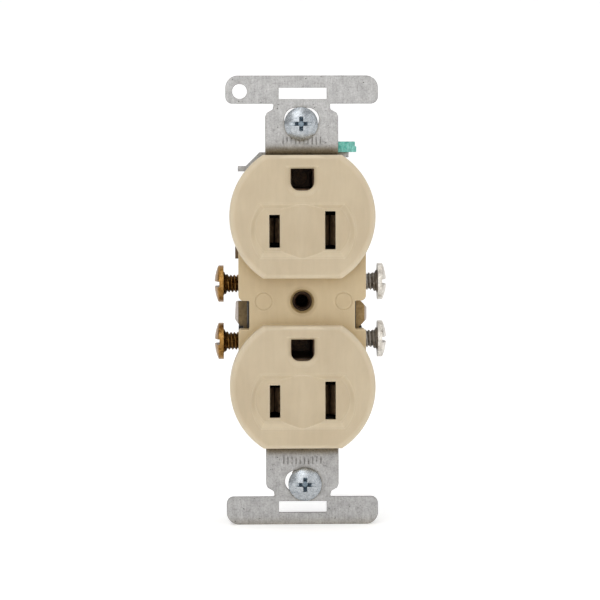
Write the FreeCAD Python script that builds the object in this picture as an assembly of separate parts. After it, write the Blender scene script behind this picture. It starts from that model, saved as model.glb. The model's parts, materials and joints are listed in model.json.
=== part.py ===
"""Duplex wall outlet, 15 A 125 V grounding type, side wired and push-in wired.

Frame: X to the right, Y into the wall (the faces look towards -Y), Z up, millimetres.
The origin is the device's centre on the rear plane of the plaster ears, which is the wall's surface.

Order of the stack, from the room to the wall: front cover, contacts, rear housing, and a steel strap that
wraps round the back. A threaded eyelet through the centre clinches them together.
"""

import FreeCAD, Part
import os
from math import cos, pi, sin, sqrt, tan

# Standard sizes of the interfaces
OUTLET_PITCH = 38.9  # between the two faces' centres
BLADE_PITCH = 12.7  # between the two blade slots
GROUND_TO_BLADES = 11.9  # from the ground pin's axis to the blades' centre line
BOX_SCREW_PITCH = 83.34  # between the two box screws
SCREW_6_RADIUS = 1.75  # major radius of a 6-32 thread
SCREW_8_RADIUS = 2.08  # major radius of an 8-32 thread
RUNNING_GAP = 0.05  # radial clearance of a screw in its hole

# Front cover
FACE_RADIUS = 16.65
FACE_HALF_HEIGHT = 14.05
FACE_Y = -7.2  # front plane of the two faces
FACE_REAR_Y = -0.4  # where the raised faces end behind
FACE_EDGE_ROUND = 1.2
FACE_SKIN = 2.6  # plastic thickness behind a face
WAIST_Y = -3.0  # front plane of the bridge between the faces
PARTING_Y = 2.0  # where the cover meets the rear housing
BODY_HALF_WIDTH = 14.6
BODY_HALF_LENGTH = 32.8
CORNER_CUT = 6.4  # 45 degree cut at each corner of the body
COVER_WALL = 2.2
EYELET_SEAT_RADIUS = 2.8
EJECTOR_MARK = (2.05, 0.22, 0.1)  # radius, width and depth of the rings
EJECTOR_X = (-8.85, 9.5)

# Blade slots and ground hole, as heights above a face's centre
GROUND_HEIGHT = 8.75
BLADE_HEIGHT = GROUND_HEIGHT - GROUND_TO_BLADES
SLOT_WIDTH = 2.4
HOT_SLOT = (BLADE_HEIGHT - 0.15, 7.5)  # height of its middle, and its length
NEUTRAL_SLOT = (BLADE_HEIGHT + 0.05, 8.7)
GROUND_HOLE = (2.7, 10.95, 5.95, 2.0)  # half width, top, bottom, radius of the lower corners
GROUND_LEAD_IN = (4.15, 11.6, 3.8, 3.6)  # the same, where the bevel meets the face
GROUND_LEAD_DEPTH = 1.0
DISH_DEPTH = 1.3
DISH_RIM = (3.2, -10.0, 9.8, 12.25)  # top, bottom, corner X and side X of the dish's outline
DISH_FLOOR = (1.5, -7.4, 8.4, 10.5)  # the same, of its floor
SLOPE_STEPS = 6  # facets across the rounded slopes of the dish and of the ground hole's bevel
RIDGE = (5.15, 6.0)  # the ridge between the slots: half width at the floor, and radius of its crest

# The middle of everything electrical: halfway between the blade contacts of the two outlets
CONTACT_MID = BLADE_HEIGHT
TERMINAL_PITCH = 13.4
TERMINAL_Y = 9.0
NEUTRAL_LIFT = 0.45  # how much higher the neutral side's screws sit than the hot side's
NOTCH_HALF_HEIGHT = 3.3
NOTCH_X = 12.1
HOUSING_NOTCH_X = 12.55

# Rear housing
HOUSING_FLOOR_Y = 17.5
HOUSING_BACK_Y = 19.5
PAD_Y = 20.6  # the two pads beside the strap
PAD_X = 8.7
FIT_GAP = 0.1

# Mounting strap
STRAP_THICK = 1.2
STRAP_HALF_LENGTH = 51.6
STRAP_END_Z = 32.9  # housing side of the strap's two end plates
STRAP_BACK_Y = HOUSING_BACK_Y + FIT_GAP
NECK_HALF_WIDTH = 8.35
NECK_THROAT = 6.4
EAR_HALF_WIDTH = 17.45
EAR_HEIGHT = 6.4
FRONT_BEND = 2.0  # inner radius of the bends at the necks
BACK_BEND = 1.0
EAR_WINDOW = (11.0, 2.6, 2.75)  # width, height and distance from the ear's outer edge
EAR_WINDOW_X = (0.25, 0.1)  # X of the middle of the upper and of the lower window
EAR_HOLE = (-14.2, 48.0, 1.7)  # X, Z and radius of the hole in the top left ear
SCREW_SLOT = (8.0, 5.2)  # width and height of the oval box screw slots
SCORE_X = 6.7
SCORE = (0.4, 0.35)  # width and depth of the lines where the ears snap off
GROUND_LUG_X = 11.0
WING_LIP = (14.6, 30.9)  # X and Z of the end of the wing on the other side
WING_BEND = 1.2  # from the neck's side to where the wing bends down
LUG_Y = (3.4, 11.4)  # extent of the ground lug
WING_Y = (5.0, 11.4)

# Contacts
SHEET = 0.8
PLATE_X = 13.0  # middle plane of the terminal plates
PLATE_HALF_LENGTH = 20.5
PLATE_Y = (4.5, 13.2)
BRIDGE_REAR_Y = 8.0
JAW_LEAF = 0.7
JAW_GAP = 1.6
JAW_FRONT_Y = -3.4
JAW_FLARE = 0.8
HOT_JAW_HALF = 2.8
NEUTRAL_JAW_HALF = 3.4
HOT_FIN = ((15.2, 2.9, 0.5), (15.4, -1.4, 1.2), (14.2, -2.9, 0.6))  # corners: X, height, radius
WIRE_EAR = (1.4, 14.1)  # half height of the ears beside the screws, and their distance from CONTACT_MID
WIRE_EAR_X = (15.3, 14.2)  # X of their tips on the hot and the neutral side
NEUTRAL_FIN = ((13.6, 3.0, 0.2), (15.1, 1.4, 0.3), (15.1, -1.4, 0.4), (13.6, -3.0, 0.2))
GROUND_GRIP = 2.45  # half of the space the ground pin goes into
GROUND_CLEARANCE = 0.95  # room for a ground contact to spring open
CLIP_SHEET = 0.4
CLIP_HALF_WIDTH = 1.8
WIRE_HOLE_X = 11.5
WIRE_HOLE_RADIUS = 1.15
RELEASE_SLOT = (9.5, 1.0, 2.6)  # X, width and height

# Fasteners
EYELET_RADIUS = 2.2
EYELET_BORE = 1.78
EYELET_FRONT_Y = -1.9
EYELET_FLOOR_Y = 15.0  # where the tapped bore ends
RIVET_RADIUS = 1.2
HEAD_RADIUS = 4.25
HEAD_RIM = 1.2
HEAD_CROWN = 0.9
NECK_CONE = (2.8, 1.0)  # radius and length of the cone under a terminal screw's head
TERMINAL_SCREW_LENGTH = 7.9
HOT_HEAD_X = 18.0  # underside of the heads, backed out as delivered
NEUTRAL_HEAD_X = 17.8
TERMINAL_DRIVE = (1.2, 1.1, 0.55, 1.8)
HEX_SLOT = (1.2, 1.1)  # width and depth
HEX_ACROSS_FLATS = 7.94
HEX_HEIGHT = 2.45
GROUND_SCREW = (8.3, 6.6)  # X and Y of its axis
GROUND_SCREW_LENGTH = 8.0
BOX_HEAD_RADIUS = 3.85
BOX_SCREW_LENGTH = 19.05
BOX_NECK = (1.45, 2.7)  # radius and length of the plain neck that the retaining washer rides on
TOP_SCREW = (-0.15, BOX_SCREW_PITCH / 2 - 1.1)  # X and Z: the loose screws hang low in their slots
BOTTOM_SCREW = (0.6, -BOX_SCREW_PITCH / 2 - 0.6)
BOX_DRIVE = (0.8, 0.5, 0.45, 1.75)  # slot's width and depth, half width and reach of the cross's arms
RETAINER = (2.95, 0.8, 0.3)  # half width, thickness and gap behind the strap

V = FreeCAD.Vector
X_AXIS = V(1, 0, 0)
Y_AXIS = V(0, 1, 0)
Z_AXIS = V(0, 0, 1)
OUTLETS = (OUTLET_PITCH / 2, -OUTLET_PITCH / 2)
TERMINALS = (CONTACT_MID + TERMINAL_PITCH / 2, CONTACT_MID - TERMINAL_PITCH / 2)
BLADE_X = BLADE_PITCH / 2


# ---------------------------------------------------------------- helpers
def block(x, y, z):
    """Box from three (low, high) pairs, given in either order."""
    low = V(min(x), min(y), min(z))
    return Part.makeBox(abs(x[1] - x[0]), abs(y[1] - y[0]), abs(z[1] - z[0]), low)


def rod(radius, start, end):
    """Cylinder between two points."""
    along = end - start
    return Part.makeCylinder(radius, along.Length, start, along)


def rod_y(radius, x, z, y):
    return rod(radius, V(x, y[0], z), V(x, y[1], z))


def cone(radius_start, radius_end, start, end):
    along = end - start
    return Part.makeCone(radius_start, radius_end, along.Length, start, along)


def fused(first, *others):
    return first.fuse(list(others)).removeSplitter()


def in_xz(y):
    """Maps flat (u, v) to X and Z at depth y."""
    return lambda u, v: V(u, y, v)


def in_xy(z):
    return lambda u, v: V(u, v, z)


def in_yz(x):
    return lambda u, v: V(x, u, v)


def rounded_wire(corners, place):
    """Closed wire through corners (u, v, radius), each rounded to its own radius."""
    points = [V(u, v, 0) for u, v, _ in corners]
    edges = []
    previous_end = None
    first_start = None
    for i, (_, _, radius) in enumerate(corners):
        here = points[i]
        back = (points[i - 1] - here).normalize()
        ahead = (points[(i + 1) % len(points)] - here).normalize()
        half = back.getAngle(ahead) / 2
        trim = radius / tan(half)
        start = here + back * trim
        end = here + ahead * trim
        if previous_end is not None:
            edges.append(Part.makeLine(place(*previous_end[:2]), place(*start[:2])))
        else:
            first_start = start
        if radius > 0:
            inward = (back + ahead).normalize()
            middle = here + inward * (radius / sin(half) - radius)
            arc = Part.Arc(place(*start[:2]), place(*middle[:2]), place(*end[:2]))
            edges.append(arc.toShape())
        previous_end = end
    edges.append(Part.makeLine(place(*previous_end[:2]), place(*first_start[:2])))
    return Part.Wire(edges)


def plate(corners, place, thickness):
    """Flat plate with rounded corners, extruded by the vector thickness."""
    return Part.Face(rounded_wire(corners, place)).extrude(thickness)


def mirrored(shape):
    """The same piece on the other side of the plane X = 0."""
    return shape.mirror(V(0, 0, 0), X_AXIS)


def strip(points, place, thickness, extrude_by):
    """Bent sheet: an open line of (u, v) points thickened to its left and extruded."""
    sides = []
    for i, (u, v) in enumerate(points):
        normals = []
        for a, b in ((i - 1, i), (i, i + 1)):
            if 0 <= a and b < len(points):
                along = V(points[b][0] - points[a][0], points[b][1] - points[a][1], 0).normalize()
                normals.append(V(-along.y, along.x, 0))
        mean = normals[0] + normals[-1]
        mean.normalize()
        mean = mean * (thickness / mean.dot(normals[0]))
        sides.append((u + mean.x, v + mean.y))
    corners = [(u, v, 0) for u, v in points + sides[::-1]]
    return plate(corners, place, extrude_by)


# ---------------------------------------------------------------- front cover
def body_outline(half_width, half_length, notch_x):
    """Plan of the body: a long box with cut corners and a notch in each side beside the break-off fins."""
    cut = CORNER_CUT
    top = CONTACT_MID + NOTCH_HALF_HEIGHT
    bottom = CONTACT_MID - NOTCH_HALF_HEIGHT
    right = [
        (half_width - cut, half_length, 0.6),
        (half_width, half_length - cut, 1.0),
        (half_width, top, 1.2),
        (notch_x, top, 0.3),
        (notch_x, bottom, 0.3),
        (half_width, bottom, 0.6),
        (half_width, -half_length + cut, 1.0),
        (half_width - cut, -half_length, 0.6),
    ]
    return right + [(-x, z, r) for x, z, r in right[::-1]]


def clipped_disc(radius, half_height, z, y):
    """Round disc with a flat above and below, as each raised face is."""
    disc = rod_y(radius, 0, z, y)
    return disc.common(block((-radius, radius), y, (z - half_height, z + half_height)))


def dish_wire(z, y, top, bottom, corner_x, side_x):
    """Outline of the dish round the blade slots: two straight edges and two bulging sides."""
    middle = (top + bottom) / 2
    corner = [V(s * corner_x, y, z + h) for s, h in ((-1, bottom), (1, bottom), (1, top), (-1, top))]
    right = Part.Arc(corner[1], V(side_x, y, z + middle), corner[2]).toShape()
    left = Part.Arc(corner[3], V(-side_x, y, z + middle), corner[0]).toShape()
    across_bottom = Part.makeLine(corner[0], corner[1])
    across_top = Part.makeLine(corner[2], corner[3])
    return Part.Wire([across_bottom, right, across_top, left])


def ground_wire(z, y, half_width, top, bottom, corner):
    """Outline of the ground hole: nearly square at the top and round towards the blades."""
    corners = [
        (-half_width, z + top, 0.25),
        (half_width, z + top, 0.25),
        (half_width, z + bottom, corner),
        (-half_width, z + bottom, corner),
    ]
    return rounded_wire(corners, in_xz(y))


def soft_recess(outline, z, rim, floor, depth, turn):
    """Recess in a face with a rounded slope from its rim to its floor.

    The slope follows a cosine up to the angle turn: pi levels it out at the floor, pi / 2 leaves it steep.
    """
    outlines = []
    for step in range(SLOPE_STEPS + 1):
        t = step / SLOPE_STEPS
        y = FACE_Y + depth * (1 - cos(turn * t)) / (1 - cos(turn))
        outlines.append(outline(z, y, *(a + (b - a) * t for a, b in zip(rim, floor))))
    return Part.makeLoft(outlines, True, True)


def dish_tool(z):
    """What is cut from a face to make the dish, less the ridge between the slots."""
    floor_y = FACE_Y + DISH_DEPTH
    tool = soft_recess(dish_wire, z, DISH_RIM, DISH_FLOOR, DISH_DEPTH, pi)
    half_width, crest_radius = RIDGE
    corners = [
        (-half_width, floor_y + 1, 0),
        (-half_width, floor_y, 0),
        (0, FACE_Y, crest_radius),
        (half_width, floor_y, 0),
        (half_width, floor_y + 1, 0),
    ]
    ridge = plate(corners, in_xy(z - FACE_RADIUS), Z_AXIS * 2 * FACE_RADIUS)
    return tool.cut(ridge)


def face_openings(z):
    """Ground hole and the two blade slots of the outlet whose centre is at height z."""
    depth = (FACE_Y, FACE_Y + 2 * FACE_SKIN)
    hole = Part.Face(ground_wire(z, FACE_Y, *GROUND_HOLE))
    tools = [hole.extrude(Y_AXIS * 2 * FACE_SKIN)]
    for x, (middle, length) in ((-BLADE_X, HOT_SLOT), (BLADE_X, NEUTRAL_SLOT)):
        width = (x - SLOT_WIDTH / 2, x + SLOT_WIDTH / 2)
        height = (z + middle - length / 2, z + middle + length / 2)
        tools.append(block(width, depth, height))
    return tools


def ejector_mark(x):
    """Shallow ring that a mould's ejector pin leaves."""
    radius, width, depth = EJECTOR_MARK
    y = (WAIST_Y, WAIST_Y + depth)
    return rod_y(radius, x, 0, y).cut(rod_y(radius - width, x, 0, y))


def front_cover():
    """Moulded cover with the two raised faces and the bridge between them."""
    outline = body_outline(BODY_HALF_WIDTH, BODY_HALF_LENGTH, NOTCH_X)
    base = plate(outline, in_xz(WAIST_Y), Y_AXIS * (PARTING_Y - WAIST_Y))
    cover = base
    for z in OUTLETS:
        face = clipped_disc(FACE_RADIUS, FACE_HALF_HEIGHT, z, (FACE_Y, FACE_REAR_Y))
        front = [e for e in face.Edges if abs(e.BoundBox.YMax - FACE_Y) < 1e-6]
        cover = cover.fuse(face.makeFillet(FACE_EDGE_ROUND, front))
    cover = cover.removeSplitter()
    inner_y = (FACE_Y + FACE_SKIN, PARTING_Y)
    for z in OUTLETS:
        hollow = clipped_disc(FACE_RADIUS - COVER_WALL, FACE_HALF_HEIGHT - COVER_WALL, z, inner_y)
        side = BODY_HALF_WIDTH - COVER_WALL
        hollow = hollow.common(block((-side, side), inner_y, (-STRAP_END_Z, STRAP_END_Z)))
        lead_in = soft_recess(ground_wire, z, GROUND_LEAD_IN, GROUND_HOLE, GROUND_LEAD_DEPTH, pi / 2)
        cover = cover.cut([hollow, dish_tool(z), lead_in] + face_openings(z))
    seat_depth = (EYELET_SEAT_RADIUS - EYELET_RADIUS) * 2
    seat = cone(
        EYELET_SEAT_RADIUS,
        EYELET_RADIUS + RUNNING_GAP,
        V(0, WAIST_Y, 0),
        V(0, WAIST_Y + seat_depth, 0),
    )
    bore = rod_y(EYELET_RADIUS + RUNNING_GAP, 0, 0, (WAIST_Y, PARTING_Y))
    marks = [ejector_mark(x) for x in EJECTOR_X]
    return cover.cut([seat, bore] + marks)


# ---------------------------------------------------------------- rear housing
def side_cavities():
    """Hollows on the hot side: jaws, terminal plate, screw tips, push-in clips, window and wire holes."""
    inner = PLATE_X - SHEET / 2 - FIT_GAP
    outer = PLATE_X + SHEET / 2 + FIT_GAP
    tools = []
    reach = PLATE_HALF_LENGTH + 0.3
    along = (CONTACT_MID - reach, CONTACT_MID + reach)
    tools.append(block((-outer, -inner), (PARTING_Y, PLATE_Y[1] + FIT_GAP), along))
    for z in OUTLETS:
        jaw_z = z + BLADE_HEIGHT
        tools.append(block((-outer, -4.3), (PARTING_Y, PLATE_Y[1] + 0.3), (jaw_z - 4.4, jaw_z + 4.4)))
    for z in TERMINALS:
        height = (z - 3.1, z + 3.1)
        tools.append(block((-outer, -5.2), (PARTING_Y, 11.5), height))
        tools.append(block((-outer, -8.2), (11.0, HOUSING_FLOOR_Y), height))
        tools.append(rod_y(WIRE_HOLE_RADIUS, -WIRE_HOLE_X, z, (HOUSING_FLOOR_Y - 1, PAD_Y + 1)))
        slot_x, slot_width, slot_height = RELEASE_SLOT
        width = (-slot_x - slot_width / 2, -slot_x + slot_width / 2)
        across = (z - slot_height / 2, z + slot_height / 2)
        tools.append(block(width, (HOUSING_FLOOR_Y - 1, PAD_Y + 1), across))
    window_half = sum(WIRE_EAR) + 0.4
    window_z = (CONTACT_MID - window_half, CONTACT_MID + window_half)
    window_y = (TERMINAL_Y - HEAD_RADIUS - 0.9, TERMINAL_Y + HEAD_RADIUS + 0.9)
    tools.append(block((-BODY_HALF_WIDTH - 1, -inner), window_y, window_z))
    return tools


def rear_housing():
    """Moulded base that holds the contacts, with a channel at the back for the strap."""
    outline = body_outline(BODY_HALF_WIDTH - FIT_GAP, BODY_HALF_LENGTH, HOUSING_NOTCH_X)
    body = plate(outline, in_xz(PARTING_Y), Y_AXIS * (PAD_Y - PARTING_Y))
    channel = block((-PAD_X, PAD_X), (HOUSING_BACK_Y, PAD_Y + 1), (-STRAP_END_Z, STRAP_END_Z))
    tools = [channel]
    for tool in side_cavities():
        tools.append(tool)
        tools.append(mirrored(tool))
    for z in OUTLETS:
        ground_z = z + GROUND_HEIGHT
        half = GROUND_GRIP + SHEET + GROUND_CLEARANCE
        through = (PARTING_Y, PAD_Y)
        tools.append(block((-half, half), through, (ground_z - half, ground_z + half)))
    tools.append(rod_y(EYELET_RADIUS + RUNNING_GAP, 0, 0, (PARTING_Y, PAD_Y)))
    screw_x, screw_y = GROUND_SCREW
    bottom = STRAP_END_Z - GROUND_SCREW_LENGTH - 0.5
    tools.append(rod(SCREW_8_RADIUS + 0.4, V(screw_x, screw_y, bottom), V(screw_x, screw_y, STRAP_END_Z)))
    for side in (-1, 1):
        ridge = side * BODY_HALF_LENGTH
        corner = [(HOUSING_BACK_Y + 0.1, ridge, 0), (HOUSING_BACK_Y - 0.9, ridge, 0)]
        corner.append((HOUSING_BACK_Y + 0.1, ridge - side * 1.0, 0))
        tools.append(plate(corner, in_yz(-PAD_X), X_AXIS * 2 * PAD_X))
    return body.cut(tools)


# ---------------------------------------------------------------- mounting strap
def ear_plate(side):
    """One end of the strap, flat against the wall: the two plaster ears and the neck. side is 1 or -1."""
    inner = STRAP_HALF_LENGTH - EAR_HEIGHT
    right = [
        (EAR_HALF_WIDTH, STRAP_HALF_LENGTH, 2.8),
        (EAR_HALF_WIDTH, inner, 1.6),
        (NECK_THROAT, inner, 0.3),
        (NECK_THROAT + 0.2, inner - 1.3, 0.5),
        (NECK_HALF_WIDTH - 0.35, inner - 2.1, 0.4),
        (NECK_HALF_WIDTH, inner - 2.9, 0.6),
        (NECK_HALF_WIDTH, STRAP_END_Z + STRAP_THICK + FRONT_BEND, 0),
    ]
    corners = right + [(-x, z, r) for x, z, r in right[::-1]]
    corners = [(x, side * z, r) for x, z, r in corners]
    return plate(corners, in_xz(-STRAP_THICK), Y_AXIS * STRAP_THICK)


def strap_channel():
    """The strap's bent middle: back from one neck, along the housing, and forward to the other neck."""
    front = -STRAP_THICK
    near = STRAP_END_Z
    far = STRAP_END_Z + STRAP_THICK
    rear = STRAP_BACK_Y + STRAP_THICK
    tip = far + FRONT_BEND + 2
    half = [
        (0, tip, 0),
        (front, tip, 0),
        (front, near, FRONT_BEND + STRAP_THICK),
        (STRAP_BACK_Y, near, BACK_BEND),
    ]
    inside = half + [(y, -z, r) for y, z, r in half[::-1]]
    outside = [
        (0, -far, FRONT_BEND),
        (rear, -far, BACK_BEND + STRAP_THICK),
        (rear, far, BACK_BEND + STRAP_THICK),
        (0, far, FRONT_BEND),
    ]
    return plate(inside + outside, in_yz(-NECK_HALF_WIDTH), X_AXIS * 2 * NECK_HALF_WIDTH)


def ground_lug():
    """The top end plate's extension that the ground screw clamps a wire to."""
    start = NECK_HALF_WIDTH - 1
    corners = [
        (start, LUG_Y[0], 0),
        (GROUND_LUG_X, LUG_Y[0], 1.0),
        (GROUND_LUG_X, LUG_Y[1], 1.0),
        (start, LUG_Y[1], 0),
    ]
    return plate(corners, in_xy(STRAP_END_Z), Z_AXIS * STRAP_THICK)


def locating_wing():
    """Wing that leaves the top end plate on the left, follows the cut corner and ends in a lip."""
    lip_x, lip_z = WING_LIP
    top = STRAP_END_Z + STRAP_THICK
    drop = top - lip_z
    line = [
        (-lip_x, lip_z),
        (-NECK_HALF_WIDTH - drop - WING_BEND, lip_z),
        (-NECK_HALF_WIDTH - WING_BEND, top),
        (-NECK_HALF_WIDTH + 1, top),
    ]
    return strip(line[::-1], in_xz(WING_Y[0]), STRAP_THICK, Y_AXIS * (WING_Y[1] - WING_Y[0]))


def oval(width, height, x, z, y):
    """Oval hole along X, through the depth y."""
    reach = (width - height) / 2
    middle = block((x - reach, x + reach), y, (z - height / 2, z + height / 2))
    ends = [rod_y(height / 2, x + s * reach, z, y) for s in (-1, 1)]
    return fused(middle, *ends)


def mounting_strap():
    """Galvanised steel strap in one piece."""
    strap = fused(strap_channel(), ear_plate(1), ear_plate(-1), ground_lug(), locating_wing())
    through = (-STRAP_THICK - 1, 1)
    tools = []
    window_width, window_height, window_edge = EAR_WINDOW
    for side, middle in zip((1, -1), EAR_WINDOW_X):
        outer = side * (STRAP_HALF_LENGTH - window_edge)
        window_x = (middle - window_width / 2, middle + window_width / 2)
        tools.append(block(window_x, through, (outer, outer - side * window_height)))
        tools.append(oval(*SCREW_SLOT, 0, side * BOX_SCREW_PITCH / 2, through))
        ear_z = (side * STRAP_HALF_LENGTH, side * (STRAP_HALF_LENGTH - EAR_HEIGHT))
        for x in (-SCORE_X, SCORE_X):
            width, depth = SCORE
            tools.append(block((x - width / 2, x + width / 2), (-depth, 1), ear_z))
    hole_x, hole_z, hole_radius = EAR_HOLE
    tools.append(rod_y(hole_radius, hole_x, hole_z, through))
    back = (STRAP_BACK_Y - 1, STRAP_BACK_Y + STRAP_THICK + 1)
    tools.append(rod_y(EYELET_RADIUS + RUNNING_GAP, 0, 0, back))
    for z in OUTLETS:
        tools.append(rod_y(RIVET_RADIUS, 0, z + GROUND_HEIGHT, back))
    x, y = GROUND_SCREW
    low = V(x, y, STRAP_END_Z - 1)
    high = V(x, y, STRAP_END_Z + STRAP_THICK + 1)
    tools.append(rod(SCREW_8_RADIUS + RUNNING_GAP, low, high))
    return strap.cut(tools)


# ---------------------------------------------------------------- contacts
def jaw(x, z, half_height):
    """Two leaves that grip a blade, with flared mouths."""
    gap = JAW_GAP / 2
    rear = PLATE_Y[1]
    line = [
        (gap, rear),
        (gap, JAW_FRONT_Y + 1.8),
        (gap + JAW_FLARE, JAW_FRONT_Y),
    ]
    leaf = strip(line[::-1], in_xy(z - half_height), JAW_LEAF, Z_AXIS * 2 * half_height)
    other = mirrored(leaf)
    return [leaf.translated(V(x, 0, 0)), other.translated(V(x, 0, 0))]


def contact_strip(jaw_half, fin_outer, ear_x, screw_lift):
    """Strip on the hot side, in one piece: jaws at both ends, terminal plates and the fin between them."""
    outer = -PLATE_X - SHEET / 2
    inner = -PLATE_X + SHEET / 2
    ends = (CONTACT_MID - PLATE_HALF_LENGTH, CONTACT_MID + PLATE_HALF_LENGTH)
    pieces = [block((outer, inner), PLATE_Y, ends)]
    for z in OUTLETS:
        jaw_z = z + BLADE_HEIGHT
        web_z = (jaw_z - jaw_half, jaw_z + jaw_half)
        web_x = (outer, -BLADE_X + JAW_GAP / 2 + JAW_LEAF)
        pieces.append(block(web_x, (PLATE_Y[1] - SHEET, PLATE_Y[1]), web_z))
        pieces.extend(jaw(-BLADE_X, jaw_z, jaw_half))
    for z in TERMINALS:
        pieces.append(block((outer, inner), (PLATE_Y[1] - 1, 16.9), (z - 2.2, z + 2.2)))
    gap_half = NOTCH_HALF_HEIGHT - 0.3
    gap = (CONTACT_MID - gap_half, CONTACT_MID + gap_half)
    whole = fused(*pieces)
    whole = whole.cut(block((outer - 1, inner + 1), (BRIDGE_REAR_Y, PLATE_Y[1] + 1), gap))
    root_top = CONTACT_MID + fin_outer[0][1]
    root_bottom = CONTACT_MID + fin_outer[-1][1]
    fin_corners = [(inner, root_top, 0)]
    fin_corners += [(-x, CONTACT_MID + height, radius) for x, height, radius in fin_outer]
    fin_corners.append((inner, root_bottom, 0))
    fin = plate(fin_corners, in_xz(PLATE_Y[0]), Y_AXIS * SHEET)
    ears = []
    ear_half, ear_z = WIRE_EAR
    for side in (-1, 1):
        middle = CONTACT_MID + side * ear_z
        ear_y = (PLATE_Y[0], PLATE_Y[0] + SHEET)
        ears.append(block((-ear_x, inner), ear_y, (middle - ear_half, middle + ear_half)))
    whole = fused(whole, fin, *ears)
    tools = []
    for z in TERMINALS:
        start = V(outer - 1, TERMINAL_Y, z + screw_lift)
        end = V(inner + 1, TERMINAL_Y, z + screw_lift)
        tools.append(rod(SCREW_8_RADIUS + RUNNING_GAP, start, end))
    for side in (-1, 1):
        score_y = BRIDGE_REAR_Y - 1.3
        score_z = CONTACT_MID + side * (gap_half + 0.1)
        start = V(outer - 1, score_y, score_z)
        tools.append(rod(0.8, start, start + X_AXIS * (SHEET + 2)))
    return whole.cut(tools)


def ground_contact(z):
    """Three-sided socket for the ground pin, on a foot that is riveted to the strap."""
    grip = GROUND_GRIP
    outer = grip + SHEET
    ground_z = z + GROUND_HEIGHT
    foot_y = (STRAP_BACK_Y - SHEET, STRAP_BACK_Y)
    low = ground_z - outer
    high = ground_z + grip
    sleeve_y = (JAW_FRONT_Y + 0.4, STRAP_BACK_Y)
    sleeve = block((-outer, outer), sleeve_y, (low, high)).cut(
        block((-grip, grip), (sleeve_y[0], foot_y[0]), (low + SHEET, high + 1))
    )
    relief = block((-outer - 1, outer + 1), (4.0, 15.5), (ground_z + 0.9, high + 1))
    hole = rod_y(RIVET_RADIUS, 0, ground_z, (foot_y[0] - 1, foot_y[1] + 1))
    return sleeve.cut([relief, hole])


def push_in_clip(z):
    """Leaf spring that bites a wire pushed in from the back."""
    base = PLATE_X - SHEET / 2
    line = [
        (-base, 16.8),
        (-base, 14.0),
        (-base + 3.6, 14.0),
        (-base + 1.5, 16.3),
    ]
    return strip(line, in_xy(z - CLIP_HALF_WIDTH), CLIP_SHEET, Z_AXIS * 2 * CLIP_HALF_WIDTH)


# ---------------------------------------------------------------- fasteners
def crowned_head(radius, rim, crown):
    """Screw head on the XY plane, rising along Z, with a domed top."""
    dome_radius = (radius**2 + crown**2) / (2 * crown)
    cylinder = Part.makeCylinder(radius, rim + crown)
    dome = Part.makeSphere(dome_radius, V(0, 0, rim + crown - dome_radius))
    head = cylinder.common(dome)
    rim_edges = [e for e in head.Edges if abs(e.BoundBox.ZMin - rim) < 0.05 and e.Closed]
    return head.makeFillet(0.25, rim_edges[:1]) if rim_edges else head


def drive_recess(top, radius, drive):
    """Combination drive: a slot right across the head, and a tapered cross in its middle."""
    width, depth, arm_half, reach = drive
    floor = top - depth - 1.1
    slot = block((-radius - 1, radius + 1), (-width / 2, width / 2), (top - depth, top + 1))
    upright = block((-arm_half, arm_half), (-reach, reach), (floor, top + 1))
    across = block((-reach, reach), (-arm_half, arm_half), (floor, top + 1))
    taper = cone(reach - 1.1, reach + 0.5, V(0, 0, floor), V(0, 0, top + 0.5))
    return fused(slot, fused(upright, across).common(taper))


def along_axis(shape, at, direction, turn=0.0):
    """Moves a shape built up the Z axis so that Z points along direction and its origin is at at."""
    turned = shape.rotated(V(0, 0, 0), Z_AXIS, turn)
    placement = FreeCAD.Placement(at, FreeCAD.Rotation(Z_AXIS, direction))
    return turned.transformed(placement.toMatrix())


def terminal_screw():
    """Wire binding screw on the Z axis: the underside of its head is at Z = 0 and the shank runs down."""
    cone_radius, cone_length = NECK_CONE
    tip = -TERMINAL_SCREW_LENGTH
    neck = cone(cone_radius, SCREW_8_RADIUS, V(0, 0, 0), V(0, 0, -cone_length))
    shank = rod(SCREW_8_RADIUS, V(0, 0, 0), V(0, 0, tip + 0.5))
    point = cone(SCREW_8_RADIUS, SCREW_8_RADIUS - 0.5, V(0, 0, tip + 0.5), V(0, 0, tip))
    screw = fused(crowned_head(HEAD_RADIUS, HEAD_RIM, HEAD_CROWN), neck, shank, point)
    return screw.cut(drive_recess(HEAD_RIM + HEAD_CROWN, HEAD_RADIUS, TERMINAL_DRIVE))


def box_screw():
    """6-32 screw that holds the device in its box, on the Z axis like the terminal screw."""
    neck_radius, neck_length = BOX_NECK
    thread_top = -neck_length - 0.3
    tip = -BOX_SCREW_LENGTH
    neck = rod(neck_radius, V(0, 0, 0), V(0, 0, thread_top))
    shoulder = cone(neck_radius, SCREW_6_RADIUS, V(0, 0, -neck_length), V(0, 0, thread_top))
    shank = rod(SCREW_6_RADIUS, V(0, 0, thread_top), V(0, 0, tip + 0.8))
    point = cone(SCREW_6_RADIUS, SCREW_6_RADIUS - 0.6, V(0, 0, tip + 0.8), V(0, 0, tip))
    screw = fused(crowned_head(BOX_HEAD_RADIUS, 0.7, 1.2), neck, shoulder, shank, point)
    return screw.cut(drive_recess(1.9, BOX_HEAD_RADIUS, BOX_DRIVE))


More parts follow.
